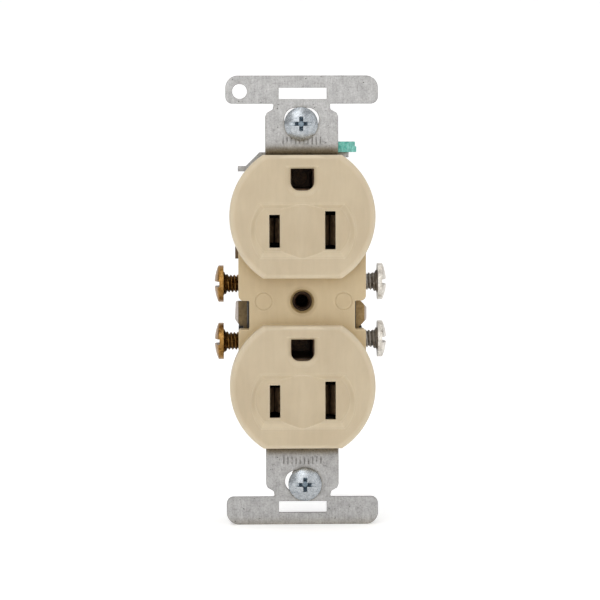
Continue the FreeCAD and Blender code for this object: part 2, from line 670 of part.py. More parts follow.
def ground_screw():
    """Hex head screw with a slot, seated on the ground lug with its head up."""
    corner_radius = HEX_ACROSS_FLATS / sqrt(3)
    corners = [(corner_radius * cos(k * pi / 3), corner_radius * sin(k * pi / 3), 0) for k in range(6)]
    hexagon = plate(corners, in_xy(0), Z_AXIS * HEX_HEIGHT)
    crown = cone(corner_radius + 1.6, corner_radius - 0.4, V(0, 0, 0), V(0, 0, HEX_HEIGHT))
    shank = rod(SCREW_8_RADIUS, V(0, 0, 0), V(0, 0, 0.5 - GROUND_SCREW_LENGTH))
    end = V(0, 0, -GROUND_SCREW_LENGTH)
    point = cone(SCREW_8_RADIUS, SCREW_8_RADIUS - 0.5, V(0, 0, 0.5 - GROUND_SCREW_LENGTH), end)
    width, depth = HEX_SLOT
    slot = block((-6, 6), (-width / 2, width / 2), (HEX_HEIGHT - depth, HEX_HEIGHT + 1))
    screw = fused(hexagon.common(crown), shank, point).cut(slot)
    x, y = GROUND_SCREW
    return screw.translated(V(x, y, STRAP_END_Z + STRAP_THICK))


def placed_terminal_screw(side, z):
    """side is -1 for the hot side and 1 for the neutral side."""
    head_x, lift = (HOT_HEAD_X, 0) if side < 0 else (NEUTRAL_HEAD_X, NEUTRAL_LIFT)
    return along_axis(terminal_screw(), V(side * head_x, TERMINAL_Y, z + lift), X_AXIS * side, 90)


def placed_box_screw(x, z):
    return along_axis(box_screw(), V(x, -STRAP_THICK, z), Y_AXIS * -1)


def screw_retainer(x, z):
    """Square fibre washer that keeps a box screw from falling out."""
    half, thick, gap = RETAINER
    y = (gap, gap + thick)
    washer = block((x - half, x + half), y, (z - half, z + half))
    corners = [e for e in washer.Edges if e.BoundBox.YLength > thick / 2]
    return washer.makeFillet(0.8, corners).cut(rod_y(BOX_NECK[0] + RUNNING_GAP, x, z, y))


def threaded_eyelet():
    """Rivet through the whole device, bored from the front and tapped 6-32 for a wall plate's screw."""
    back = STRAP_BACK_Y + STRAP_THICK
    shank = rod_y(EYELET_RADIUS, 0, 0, (EYELET_FRONT_Y, back + 0.8))
    flange = rod_y(EYELET_RADIUS + 1.2, 0, 0, (back, back + 0.8))
    rim = [e for e in flange.Edges if e.Closed and abs(e.BoundBox.YMin - back - 0.8) < 1e-6]
    flange = flange.makeFillet(0.5, rim)
    return fused(shank, flange).cut(rod_y(EYELET_BORE, 0, 0, (EYELET_FRONT_Y, EYELET_FLOOR_Y)))


def ground_rivets():
    """Two rivets that fix the ground contacts to the strap."""
    rivets = []
    for z in OUTLETS:
        ground_z = z + GROUND_HEIGHT
        foot = STRAP_BACK_Y - SHEET
        back = STRAP_BACK_Y + STRAP_THICK
        shank = rod_y(RIVET_RADIUS, 0, ground_z, (foot, back))
        inner_head = rod_y(RIVET_RADIUS + 0.6, 0, ground_z, (foot - 0.6, foot))
        outer_head = along_axis(crowned_head(2.1, 0.3, 0.5), V(0, back, ground_z), Y_AXIS)
        rivets.append(fused(shank, inner_head, outer_head))
    return Part.makeCompound(rivets)


def build():
    hot = contact_strip(HOT_JAW_HALF, HOT_FIN, WIRE_EAR_X[0], 0)
    neutral = mirrored(contact_strip(NEUTRAL_JAW_HALF, NEUTRAL_FIN, WIRE_EAR_X[1], NEUTRAL_LIFT))
    parts = {
        "front_cover": front_cover(),
        "rear_housing": rear_housing(),
        "mounting_strap": mounting_strap(),
        "threaded_eyelet": threaded_eyelet(),
        "hot_contact_strip": hot,
        "neutral_contact_strip": neutral,
        "upper_ground_contact": ground_contact(OUTLETS[0]),
        "lower_ground_contact": ground_contact(OUTLETS[1]),
        "ground_rivets": ground_rivets(),
        "ground_screw": ground_screw(),
        "top_box_screw": placed_box_screw(*TOP_SCREW),
        "bottom_box_screw": placed_box_screw(*BOTTOM_SCREW),
        "top_screw_retainer": screw_retainer(*TOP_SCREW),
        "bottom_screw_retainer": screw_retainer(*BOTTOM_SCREW),
    }
    for level, z in zip(("upper", "lower"), TERMINALS):
        parts[f"hot_{level}_terminal_screw"] = placed_terminal_screw(-1, z)
        parts[f"neutral_{level}_terminal_screw"] = placed_terminal_screw(1, z)
        parts[f"hot_{level}_push_in_clip"] = push_in_clip(z)
        parts[f"neutral_{level}_push_in_clip"] = mirrored(push_in_clip(z))
    os.makedirs("parts", exist_ok=True)
    for name, shape in parts.items():
        solids = Part.makeCompound(shape.Solids) if len(shape.Solids) > 1 else shape.Solids[0]
        if not solids.isValid():
            print("not valid:", name)
        solids.exportStep(f"parts/{name}.step")
        print(name, len(shape.Solids), round(solids.Volume, 1))


build()
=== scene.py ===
"""Looks of a duplex wall outlet: materials, real threads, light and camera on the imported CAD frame."""

import json
import math
from collections import namedtuple

import bmesh
import bpy
from mathutils import Matrix, Vector


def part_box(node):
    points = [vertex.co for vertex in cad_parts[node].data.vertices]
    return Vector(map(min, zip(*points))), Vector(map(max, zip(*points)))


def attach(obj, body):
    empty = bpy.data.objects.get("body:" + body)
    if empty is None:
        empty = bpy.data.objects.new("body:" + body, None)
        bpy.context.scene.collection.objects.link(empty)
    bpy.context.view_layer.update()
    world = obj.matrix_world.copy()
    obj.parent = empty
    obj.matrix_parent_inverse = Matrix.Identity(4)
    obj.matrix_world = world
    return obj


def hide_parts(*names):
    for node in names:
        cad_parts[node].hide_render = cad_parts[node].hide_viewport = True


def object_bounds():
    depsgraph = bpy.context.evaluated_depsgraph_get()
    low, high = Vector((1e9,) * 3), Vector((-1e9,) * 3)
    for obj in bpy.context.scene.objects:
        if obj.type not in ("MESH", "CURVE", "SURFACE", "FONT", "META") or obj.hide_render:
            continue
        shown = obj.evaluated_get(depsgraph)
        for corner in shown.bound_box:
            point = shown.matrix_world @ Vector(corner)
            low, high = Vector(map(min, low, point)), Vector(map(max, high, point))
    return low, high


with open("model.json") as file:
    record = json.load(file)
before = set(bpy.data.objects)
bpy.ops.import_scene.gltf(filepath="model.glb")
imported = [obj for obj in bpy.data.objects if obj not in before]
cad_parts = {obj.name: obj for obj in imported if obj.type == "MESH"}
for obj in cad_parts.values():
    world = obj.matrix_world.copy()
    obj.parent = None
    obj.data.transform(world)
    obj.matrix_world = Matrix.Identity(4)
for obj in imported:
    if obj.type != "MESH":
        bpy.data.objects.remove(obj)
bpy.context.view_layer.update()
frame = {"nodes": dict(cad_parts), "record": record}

MM = 0.001
nodes = frame["nodes"]


# ---------------------------------------------------------------- places
# All in millimetres of the row frame: X to the right, Y to the rear, Z up.
OUTLET_Z = 19.45  # height of each outlet's centre, above and below the middle
TICKS_PER_MM = 1.05  # of the row stamped in each of the strap's necks

# Bands where a look changes: middle, half width, and width of the soft edge outside it.
BRIDGE_Y = (0.0, 3.4, 0.8)
EYELET_RING_REACH = (0.0, 2.4, 1.3)
DISH_REACH = (0.0, 14.2, 0.3)
DISH_Y = (-6.3, 1.2, 0.3)
FACE_RIM_REACH = (17.2, 0.6, 1.4)
FACE_RIM_HEIGHT = (14.6, 0.6, 1.0)
FACE_RIM_Y = (-7.0, 3.0, 0.6)
HOLLOW_REACH = (0.0, 14.7, 0.1)
HOLLOW_HEIGHT = (0.0, 12.1, 0.1)
HOLLOW_X = (0.0, 13.2, 0.1)
HOLLOW_Y = (5.0, 9.5, 0.3)
LOWER_EARS_Z = (-60.0, 30.0, 40.0)
TICKS_X = (0.1, 4.4, 0.1)
TICKS_Y = (-1.0, 0.4, 0.1)
TICKS_HEIGHT = (36.75, 0.75, 0.2)
TICK_IN_COLUMN = (0.5, 0.10, 0.08)  # as shares of the space between ticks
FIN_Z = (-3.15, 3.6, 0.6)
FIN_EDGE_X = (15.3, 0.55, 0.2)


# ---------------------------------------------------------------- material helpers
def linear(r, g, b):
    """sRGB 0-255 to the linear colour that shaders use."""
    out = []
    for c in (r, g, b):
        c = c / 255
        out.append(c / 12.92 if c <= 0.04045 else ((c + 0.055) / 1.055) ** 2.4)
    return (*out, 1.0)


WHITE = linear(255, 255, 255)


class Graph:
    """A material, and short ways to add and link its nodes. Coordinates are in millimetres."""

    bevel_samples = 4
    occlusion_samples = 6

    def __init__(self, name):
        self.material = bpy.data.materials.new(name)
        self.material.use_nodes = True
        self.tree = self.material.node_tree
        self.tree.nodes.clear()
        output = self.add("OutputMaterial")
        self.shader = self.add("BsdfPrincipled")
        self.link(self.shader.outputs[0], output.inputs[0])
        scale = self.add("VectorMath")
        scale.operation = "SCALE"
        scale.inputs["Scale"].default_value = 1 / MM
        self.link(self.add("TexCoord").outputs["Object"], scale.inputs[0])
        self.mm = scale.outputs[0]

    def add(self, kind):
        return self.tree.nodes.new("ShaderNode" + kind)

    def link(self, a, b):
        self.tree.links.new(a, b)

    def put(self, socket, value):
        """Link another node's output to a socket, or set the socket to a plain value."""
        if hasattr(value, "links"):
            self.link(value, socket)
        else:
            socket.default_value = value

    def set(self, **values):
        for name, value in values.items():
            self.put(self.shader.inputs[name.replace("_", " ")], value)

    # numbers
    def math(self, how, a, b=0.0):
        node = self.add("Math")
        node.operation = how
        self.put(node.inputs[0], a)
        self.put(node.inputs[1], b)
        return node.outputs[0]

    def times(self, *factors):
        out = factors[0]
        for factor in factors[1:]:
            out = self.math("MULTIPLY", out, factor)
        return out

    def size(self, value):
        return self.math("ABSOLUTE", value)

    def reach(self, a, b):
        """Distance from the line where a and b are 0."""
        return self.math("SQRT", self.math("ADD", self.times(a, a), self.times(b, b)))

    def within(self, value, band):
        """1 where value lies in the band, falling to 0 over its soft edge."""
        middle, half, soft = band
        node = self.add("MapRange")
        self.link(self.size(self.math("SUBTRACT", value, middle)), node.inputs["Value"])
        node.inputs["From Min"].default_value = half + soft
        node.inputs["From Max"].default_value = half
        return node.outputs[0]

    # places and directions
    def axis(self, name):
        """One coordinate, in millimetres."""
        node = self.add("SeparateXYZ")
        self.link(self.mm, node.inputs[0])
        return node.outputs[name]

    def normal(self):
        """The surface's own direction, before any bump."""
        return self.add("NewGeometry").outputs["Normal"]

    def facing(self, name):
        """One component of the surface's own direction."""
        node = self.add("SeparateXYZ")
        self.link(self.normal(), node.inputs[0])
        return node.outputs[name]

    def to_front(self):
        """1 on surfaces that face the front, 0 on sides."""
        return self.times(self.facing("Y"), -1.0)

    def stretch(self, x, y, z):
        node = self.add("Mapping")
        node.inputs["Scale"].default_value = (x, y, z)
        self.link(self.mm, node.inputs["Vector"])
        return node.outputs[0]

    def rounded(self, radius_mm):
        """Normal that softens sharp edges."""
        node = self.add("Bevel")
        node.samples = self.bevel_samples
        node.inputs["Radius"].default_value = radius_mm * MM
        return node.outputs[0]

    def edges(self, softened):
        """0 on open surfaces, rising to 1 where the softened normal leaves the true one."""
        dot = self.add("VectorMath")
        dot.operation = "DOT_PRODUCT"
        self.link(softened, dot.inputs[0])
        self.link(self.normal(), dot.inputs[1])
        return self.ramp(self.math("SUBTRACT", 1.0, dot.outputs["Value"]), (0.0, 0.0), (0.12, 1.0))

    def open_sky(self, reach_mm):
        """1 on open surfaces, lower in corners and recesses."""
        node = self.add("AmbientOcclusion")
        node.samples = self.occlusion_samples
        node.inputs["Distance"].default_value = reach_mm * MM
        return node.outputs["AO"]

    # textures and colours
    def noise(self, scale, detail=3, rough=0.5, at=None):
        """Noise with scale features to the millimetre."""
        node = self.add("TexNoise")
        node.inputs["Scale"].default_value = scale
        node.inputs["Detail"].default_value = detail
        node.inputs["Roughness"].default_value = rough
        self.link(at or self.mm, node.inputs["Vector"])
        return node.outputs["Fac"]

    def ramp(self, fac, *stops):
        """Colour ramp from (position, value or colour) stops."""
        node = self.add("ValToRGB")
        elements = node.color_ramp.elements
        while len(elements) < len(stops):
            elements.new(0.5)
        for element, (position, value) in zip(elements, stops):
            element.position = position
            element.color = value if hasattr(value, "__len__") else (value, value, value, 1)
        self.link(fac, node.inputs[0])
        return node.outputs["Color"]

    def mix(self, fac, a, b, how="MIX"):
        node = self.add("Mix")
        node.data_type = "RGBA"
        node.blend_type = how
        self.put(node.inputs["Factor"], fac)
        self.put(node.inputs[6], a)
        self.put(node.inputs[7], b)
        return node.outputs[2]

    def stain(self, colour, tint, amount=1.0):
        """Colour multiplied by a tint, by an amount from 0 to 1."""
        return self.mix(amount, colour, tint, "MULTIPLY")

    def bump(self, height, depth_mm, normal):
        node = self.add("Bump")
        node.inputs["Strength"].default_value = 1.0
        node.inputs["Distance"].default_value = depth_mm * MM
        self.link(height, node.inputs["Height"])
        self.link(normal, node.inputs["Normal"])
        return node.outputs[0]


# ---------------------------------------------------------------- materials
def ivory_plastic():
    """Moulded thermoplastic: faint grain and streaks; painted highlights on edges, the face's rim and
    the dishes' upward slopes; painted warm shade in recesses and on the set-back bridge; a darker ring
    round the eyelet; painted dark shade in the hollows under the face.
    """
    g = Graph("ivory_moulded_plastic")
    grain = g.noise(3.2, 4, 0.65)
    softened = g.rounded(0.6)
    skin = g.ramp(g.noise(0.09, 3, 0.6), (0.35, linear(182, 165, 137)), (0.65, linear(189, 173, 145)))
    skin = g.stain(skin, g.ramp(g.noise(6.0, 2, 0.5), (0.28, 0.94), (0.40, 1.0)))
    # Painted highlight: paler along edges, where the softened normal leaves the true one.
    skin = g.mix(g.times(g.edges(softened), 0.55), skin, linear(228, 214, 186))
    # Painted shade: warmer and darker in corners and recesses.
    skin = g.stain(skin, g.ramp(g.open_sky(6.0), (0.40, linear(250, 244, 228)), (0.85, WHITE)))
    # Painted shade: the set-back bridge between the faces is tinted darker.
    skin = g.stain(skin, linear(252, 247, 234), g.within(g.axis("Y"), BRIDGE_Y))

    height = g.math("SUBTRACT", g.size(g.axis("Z")), OUTLET_Z)
    reach = g.reach(g.axis("X"), height)
    in_dish = g.times(g.within(reach, DISH_REACH), g.within(g.axis("Y"), DISH_Y))
    # Painted highlight: dish slopes that face upward are lighter.
    slope = g.times(in_dish, g.ramp(g.to_front(), (0.82, 1.0), (0.96, 0.0)))
    slope_highlight = g.times(slope, g.ramp(g.facing("Z"), (0.0, 0.18), (0.45, 0.34)))
    skin = g.mix(slope_highlight, skin, linear(226, 212, 184))

    # Painted highlight: a paler band round the face's rounded rim.
    round_rim = g.within(reach, FACE_RIM_REACH)
    flat_rim = g.within(g.size(height), FACE_RIM_HEIGHT)
    rim = g.times(g.math("MAXIMUM", round_rim, flat_rim), g.within(g.axis("Y"), FACE_RIM_Y))
    skin = g.mix(g.times(rim, 0.36), skin, linear(236, 223, 198))

    streak = g.noise(0.6, 3, 0.55, g.stretch(1.6, 1.0, 0.25))
    skin = g.stain(skin, g.ramp(streak, (0.38, 0.965), (0.6, 1.0)))
    # A darker ring round the eyelet's hole.
    tinted_patch = g.within(g.reach(g.axis("X"), g.axis("Z")), EYELET_RING_REACH)
    skin = g.stain(skin, linear(212, 204, 186), tinted_patch)
    # Painted shade: surfaces in the hollows under the face, seen through its openings, turn dark brown.
    hollow_shade = g.times(
        g.within(height, HOLLOW_HEIGHT),
        g.within(reach, HOLLOW_REACH),
        g.within(g.axis("X"), HOLLOW_X),
        g.within(g.axis("Y"), HOLLOW_Y),
    )
    g.set(Base_Color=g.mix(hollow_shade, skin, linear(58, 48, 38)))
    g.set(Roughness=g.ramp(grain, (0.3, 0.42), (0.7, 0.56)), IOR=1.49)
    g.set(Subsurface_Weight=0.10, Subsurface_Scale=1.0 * MM, Subsurface_Radius=(1.0, 0.75, 0.45))
    g.set(Normal=g.bump(grain, 0.016, softened))
    return g.material


def galvanised_steel():
    """Zinc coated strip: grey mottling, rolling streaks, small pits, stamped ticks on the necks, and
    painted shade towards the lower ears, in corners and along edges.
    """
    g = Graph("galvanised_strap_steel")
    fine = g.noise(2.4, 5, 0.72)
    streak = g.noise(1.3, 3, 0.6, g.stretch(2.6, 1.0, 0.22))
    skin = g.ramp(g.noise(0.55, 5, 0.7), (0.32, linear(172, 171, 170)), (0.68, linear(197, 196, 195)))
    skin = g.stain(skin, g.ramp(fine, (0.34, linear(172, 171, 169)), (0.58, WHITE)), 0.55)
    skin = g.stain(skin, g.ramp(streak, (0.36, linear(206, 205, 203)), (0.60, WHITE)), 0.35)

    pits = g.ramp(g.noise(1.9, 3, 0.6, g.stretch(0.8, 1.0, 1.2)), (0.315, 1.0), (0.35, 0.0))
    pits = g.times(pits, g.ramp(g.noise(0.22, 2, 0.5), (0.44, 1.0), (0.56, 0.0)))
    skin = g.mix(g.times(pits, 0.85), skin, linear(70, 68, 64))
    # Painted shade: the strap darker towards the lower ears.
    lower = g.within(g.axis("Z"), LOWER_EARS_Z)
    skin = g.stain(skin, linear(196, 196, 197), g.times(lower, 0.2))

    ticks = g.times(
        g.within(g.axis("X"), TICKS_X),
        g.within(g.size(g.axis("Z")), TICKS_HEIGHT),
        g.within(g.math("FRACT", g.times(g.axis("X"), TICKS_PER_MM)), TICK_IN_COLUMN),
        g.within(g.axis("Y"), TICKS_Y),
    )
    ticks = g.times(ticks, g.ramp(g.noise(0.9, 3, 0.6), (0.40, 0.15), (0.55, 1.0)))
    skin = g.mix(g.times(ticks, 0.6), skin, linear(96, 94, 90))

    softened = g.rounded(0.25)
    # Painted shade: warmer and darker in corners and bends.
    skin = g.stain(skin, g.ramp(g.open_sky(3.5), (0.22, linear(206, 192, 158)), (0.78, WHITE)))
    # Painted shade: a dark line along the strap's edges.
    skin = g.mix(g.times(g.edges(softened), 0.55), skin, linear(104, 102, 98))
    g.set(Base_Color=skin, Metallic=0.62)
    g.set(Roughness=g.ramp(fine, (0.3, 0.40), (0.7, 0.60)))
    sunk = g.math("ADD", g.times(pits, 1.5), g.times(ticks, 3.0))
    g.set(Normal=g.bump(g.math("SUBTRACT", fine, sunk), 0.045, softened))
    return g.material


def plated(name, low, high, rough=(0.24, 0.44), metallic=0.95, bump=0.014, recess_shade=None, recess_shade_amount=0.9):
    """Plated or dyed metal of a fastener: blotches, handling marks, and painted shade, with a tint, in
    thread roots and recesses.
    """
    g = Graph(name)
    blotch = g.noise(0.9, 4, 0.6)
    fine = g.noise(7.0, 3, 0.6)
    mottle = g.noise(2.4, 4, 0.75)
    marks = g.mix(0.5, g.ramp(fine, (0.35, 0.80), (0.6, 1.0)), g.ramp(mottle, (0.40, 0.45), (0.56, 1.0)))
    skin = g.stain(g.ramp(blotch, (0.35, linear(*low)), (0.68, linear(*high))), marks)
    if recess_shade:
        # Painted shade: thread roots and recesses darkened toward a tint.
        skin = g.mix(g.ramp(g.open_sky(1.5), (0.35, recess_shade_amount), (0.92, 0.0)), skin, linear(*recess_shade))
    g.set(Base_Color=skin, Metallic=metallic)
    g.set(Roughness=g.ramp(blotch, (0.3, rough[0]), (0.7, rough[1])))
    g.set(Normal=g.bump(g.math("ADD", fine, mottle), bump, g.rounded(0.12)))
    return g.material


def contact_metal(name, fin_low, fin_high):
    """Contact strip: bright fin with a painted highlight along its outer edge, and the rest of the strip
    a darker brown as painted shade within the body.
    """
    g = Graph(name)
    blotch = g.noise(0.8, 4, 0.65)
    fine = g.noise(5.0, 4, 0.65)
    fin = g.ramp(blotch, (0.3, linear(*fin_low)), (0.7, linear(*fin_high)))
    # Painted highlight: a paler band along the fin's outer edge, on surfaces facing the front.
    edge_highlight = g.times(
        g.within(g.size(g.axis("X")), FIN_EDGE_X),
        g.ramp(g.to_front(), (0.1, 0.25), (0.5, 0.9)),
    )
    fin = g.mix(edge_highlight, fin, linear(206, 197, 192))
    # Painted shade: the strip away from the fin is a darker brown.
    body_shade = g.ramp(blotch, (0.3, linear(58, 45, 34)), (0.7, linear(132, 108, 80)))
    skin = g.mix(g.within(g.axis("Z"), FIN_Z), body_shade, fin)
    g.set(Base_Color=g.stain(skin, g.ramp(fine, (0.35, 0.72), (0.62, 1.0))), Metallic=0.55)
    g.set(Roughness=g.ramp(fine, (0.3, 0.38), (0.7, 0.6)))
    g.set(Normal=g.bump(fine, 0.03, g.rounded(0.12)))
    return g.material


def moulded_base():
    """Dark phenolic of the rear housing, with pale dust in patches."""
    g = Graph("dark_moulded_base")
    grain = g.noise(2.5, 4, 0.65)
    skin = g.ramp(g.noise(0.15, 3, 0.6), (0.35, linear(34, 31, 29)), (0.65, linear(48, 44, 41)))
    tinted_patch = g.ramp(g.noise(0.6, 5, 0.7), (0.55, 0.0), (0.75, 0.35))
    g.set(Base_Color=g.mix(tinted_patch, skin, linear(92, 86, 78)))
    g.set(Roughness=g.ramp(grain, (0.3, 0.38), (0.7, 0.58)))
    g.set(Normal=g.bump(grain, 0.025, g.rounded(0.3)))
    return g.material


def vulcanised_fibre():
    """Brown fibre sheet of the washers that hold the box screws."""
    g = Graph("vulcanised_fibre")
    fibres = g.noise(1.4, 5, 0.7, g.stretch(4.0, 1.0, 0.7))
    skin = g.ramp(fibres, (0.3, linear(120, 96, 70)), (0.7, linear(158, 132, 100)))
    g.set(Base_Color=skin, Roughness=0.75, Normal=g.bump(fibres, 0.05, g.rounded(0.1)))
    return g.material


def looks():
    """Material of every node of the frame."""
    brass = plated(
        "brass_plated_screw", low=(118, 82, 34), high=(182, 140, 80),
        rough=(0.2, 0.4), bump=0.02, recess_shade=(54, 34, 10),
    )
    silver = plated(
        "nickel_plated_screw", low=(206, 198, 187), high=(248, 244, 236),
        metallic=0.85, bump=0.02, recess_shade=(74, 58, 42),
    )
    zinc = plated(
        "zinc_plated_screw", low=(166, 172, 178), high=(200, 205, 209),
        rough=(0.18, 0.36), metallic=0.85, bump=0.016, recess_shade=(56, 86, 104), recess_shade_amount=0.85,
    )
    green = plated(
        "green_dyed_screw", low=(64, 176, 158), high=(150, 224, 211),
        rough=(0.3, 0.5), metallic=0.3, bump=0.02, recess_shade=(18, 112, 100), recess_shade_amount=0.5,
    )
    eyelet = plated(
        "dark_plated_eyelet", low=(40, 27, 19), high=(74, 54, 37),
        rough=(0.35, 0.55), metallic=0.85, bump=0.06, recess_shade=(24, 14, 8),
    )
    # Tarnished copper, its colour darkened further as painted shade down in the ground hole.
    socket = plated(
        "tarnished_shaded_ground_socket", low=(70, 52, 38), high=(128, 98, 72),
        rough=(0.35, 0.55), metallic=0.5, bump=0.02, recess_shade=(30, 19, 13), recess_shade_amount=0.7,
    )
    spring = plated("spring_steel", low=(104, 104, 108), high=(150, 150, 154))
    fibre = vulcanised_fibre()
    by_node = {
        "front_cover": ivory_plastic(),
        "rear_housing": moulded_base(),
        "mounting_strap": galvanised_steel(),
        "threaded_eyelet": eyelet,
        "hot_contact_strip": contact_metal("tinned_contact_strip", (96, 80, 54), (130, 109, 74)),
        "neutral_contact_strip": contact_metal("brass_contact_strip", (134, 108, 68), (178, 148, 100)),
        "ground_rivets": socket,
        "ground_screw": green,
    }
    for end in ("top", "bottom"):
        by_node[f"{end}_box_screw"] = zinc
        by_node[f"{end}_screw_retainer"] = fibre
    for level in ("upper", "lower"):
        by_node[f"{level}_ground_contact"] = socket
        by_node[f"hot_{level}_terminal_screw"] = brass
        by_node[f"neutral_{level}_terminal_screw"] = silver
        for side in ("hot", "neutral"):
            by_node[f"{side}_{level}_push_in_clip"] = spring
    return by_node


LOOKS = looks()
for name, material in LOOKS.items():
    data = nodes[name].data
    data.materials.clear()
    data.materials.append(material)


# ---------------------------------------------------------------- threads
Thread = namedtuple("Thread", "crest depth pitch")  # crest is a radius
COARSE_8 = Thread(2.08 * MM, 0.47 * MM, 0.794 * MM)  # terminal and ground screws
COARSE_6 = Thread(1.75 * MM, 0.47 * MM, 0.794 * MM)  # box screws
TAPPED_6 = Thread(1.78 * MM, 0.36 * MM, 0.794 * MM)  # the eyelet's bore

ROUND_STEPS, ROWS_PER_TURN = 40, 8  # mesh corners round a thread, and rings along each turn
CREST_SHARE = 1.25  # above 1, crests are flat
RUN_IN, RUN_OUT = 0.4, 0.2  # turns over which a thread starts, and over which the bore's ends
RUN_OUT_DEPTH = 0.35  # share of its depth that the bore's thread keeps at the end
TIP_EDGE = 0.1 * MM  # how far a screw's end face reaches beyond the root
SEAM = 0.05 * MM  # width of the band that joins a thread to the rest of its piece
SHARPEST_SMOOTH_EDGE = math.radians(32)
WELD = 1e-7  # metres, between corners that are one in the CAD

TERMINAL_SHANK = 7.9 * MM
TERMINAL_WALL = (1.5 * MM, 2.85 * MM)  # radii between which its plain wall lies
TERMINAL_CONE = 2.8 * MM  # radius of the cone under its head
TERMINAL_FLARE_LENGTH = 1.0 * MM
GROUND_SHANK = 8.0 * MM
GROUND_WALL = 2.2 * MM
BOX_SHANK = 19.05 * MM
BOX_PLAIN = 3.0 * MM  # part of a box screw's shank without a thread, next to the head
BORE_DEPTH = 16.8 * MM
BORE_FLOOR = 17.0 * MM  # no deeper than this is the plain bore's closed end
BORE_WALL = 1.85 * MM
SLACK = 0.01 * MM

BODIES = {}
for body, members in frame["record"]["behaviour"]["bodies"].items():
    for member in members:
        BODIES[member] = body


def thread_profile(turns, thread):
    """Radius at a place along the thread, counted in turns: flat crests and V-shaped roots."""
    height = abs((turns % 1.0) * 2 - 1) * CREST_SHARE
    return thread.crest - thread.depth * (1 - min(1.0, height))


def thread_radius(along, turn, span, thread, outward, flare):
    """Radius of a thread's surface at a place along its axis and a share of a turn round it."""
    start, end = span
    crest, depth, pitch = thread
    radius = thread_profile(along / pitch - turn, thread)
    share = min(1.0, (along - start) / (RUN_IN * pitch))
    if outward:
        radius = min(radius, crest - depth + (end - along) + TIP_EDGE)
    else:
        share = min(share, (end - along) / (RUN_OUT * pitch) + RUN_OUT_DEPTH)
    swell = flare * max(0.0, 1 - (along - start) / TERMINAL_FLARE_LENGTH)
    return crest + (radius - crest) * share + swell


def add_thread(bm, origin, axis, span, thread, outward, flare):
    """Helical surface on an axis, from a seam's width past span[0] to span[1] ahead of origin.

    It is closed at the far end. flare is how much wider the thread starts than it ends.
    """
    side = axis.orthogonal().normalized()
    up = axis.cross(side)
    start, end = span[0] + SEAM, span[1]
    rows = max(8, round((end - start) / thread.pitch * ROWS_PER_TURN))
    rings = []
    for row in range(rows + 1):
        along = start + (end - start) * row / rows
        ring = []
        for k in range(ROUND_STEPS):
            turn = k / ROUND_STEPS
            angle = 2 * math.pi * turn
            outwards = side * math.cos(angle) + up * math.sin(angle)
            radius = thread_radius(along, turn, (start, end), thread, outward, flare)
            ring.append(bm.verts.new(origin + axis * along + outwards * radius))
        rings.append(ring)
    for low, high in zip(rings, rings[1:]):
        for k in range(ROUND_STEPS):
            n = (k + 1) % ROUND_STEPS
            bm.faces.new((low[k], low[n], high[n], high[k]))
    bm.faces.new(rings[-1])


def threaded_copy(node, origin, axis, bare, span, thread, outward=True, flare=0.0):
    """Mesh-coded piece for a threaded node: its head as in the CAD, and a real helix for the plain wall.

    bare(along, radius) says which corners of the CAD mesh belong to the plain wall that is left out.
    """
    origin, axis = Vector(origin), Vector(axis)
    bm = bmesh.new()
    bm.from_mesh(nodes[node].data)
    bm.transform(nodes[node].matrix_world)
    bmesh.ops.remove_doubles(bm, verts=bm.verts, dist=WELD)
    plain = []
    for face in bm.faces:
        corners = []
        for vert in face.verts:
            along = (vert.co - origin).dot(axis)
            corners.append(bare(along, (vert.co - origin - axis * along).length))
        if all(corners):
            plain.append(face)
    bmesh.ops.delete(bm, geom=plain, context="FACES")
    add_thread(bm, origin, axis, span, thread, outward, flare)
    bmesh.ops.bridge_loops(bm, edges=[edge for edge in bm.edges if edge.is_boundary])
    bmesh.ops.recalc_face_normals(bm, faces=bm.faces)
    for face in bm.faces:
        face.smooth = True
    for edge in bm.edges:
        edge.smooth = edge.calc_face_angle(0.0) < SHARPEST_SMOOTH_EDGE
    mesh = bpy.data.meshes.new(node + "_threaded")
    bm.to_mesh(mesh)
    bm.free()
    mesh.materials.append(LOOKS[node])
    piece = bpy.data.objects.new(node + "_threaded", mesh)
    bpy.context.scene.collection.objects.link(piece)
    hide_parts(node)
    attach(piece, BODIES[node])


def on_terminal_shank(along, radius):
    return along > -SLACK and TERMINAL_WALL[0] < radius < TERMINAL_WALL[1]


def on_ground_shank(along, radius):
    return along > -SLACK and radius < GROUND_WALL


def on_box_shank(along, radius):
    return along > BOX_PLAIN - SLACK


def on_bore(along, radius):
    return along < BORE_FLOOR and radius < BORE_WALL


def middle(low, high):
    return [(a + b) / 2 for a, b in zip(low, high)]


for level in ("upper", "lower"):
    for side, inward in (("hot", 1), ("neutral", -1)):
        node = f"{side}_{level}_terminal_screw"
        low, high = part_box(node)
        x, y, z = middle(low, high)
        tip = high[0] if inward > 0 else low[0]
        origin = (tip - inward * TERMINAL_SHANK, y, z)
        flare = TERMINAL_CONE - COARSE_8.crest
        span = (0.0, TERMINAL_SHANK)
        threaded_copy(node, origin, (inward, 0, 0), on_terminal_shank, span, COARSE_8, flare=flare)

for node in ("top_box_screw", "bottom_box_screw"):
    low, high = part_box(node)
    x, y, z = middle(low, high)
    origin = (x, high[1] - BOX_SHANK, z)
    threaded_copy(node, origin, (0, 1, 0), on_box_shank, (BOX_PLAIN, BOX_SHANK), COARSE_6)

low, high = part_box("ground_screw")
x, y, z = middle(low, high)
origin = (x, y, low[2] + GROUND_SHANK)
threaded_copy("ground_screw", origin, (0, 0, -1), on_ground_shank, (0.0, GROUND_SHANK), COARSE_8)

low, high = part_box("threaded_eyelet")
origin = (0, low[1], 0)
threaded_copy("threaded_eyelet", origin, (0, 1, 0), on_bore, (0.0, BORE_DEPTH), TAPPED_6, outward=False)


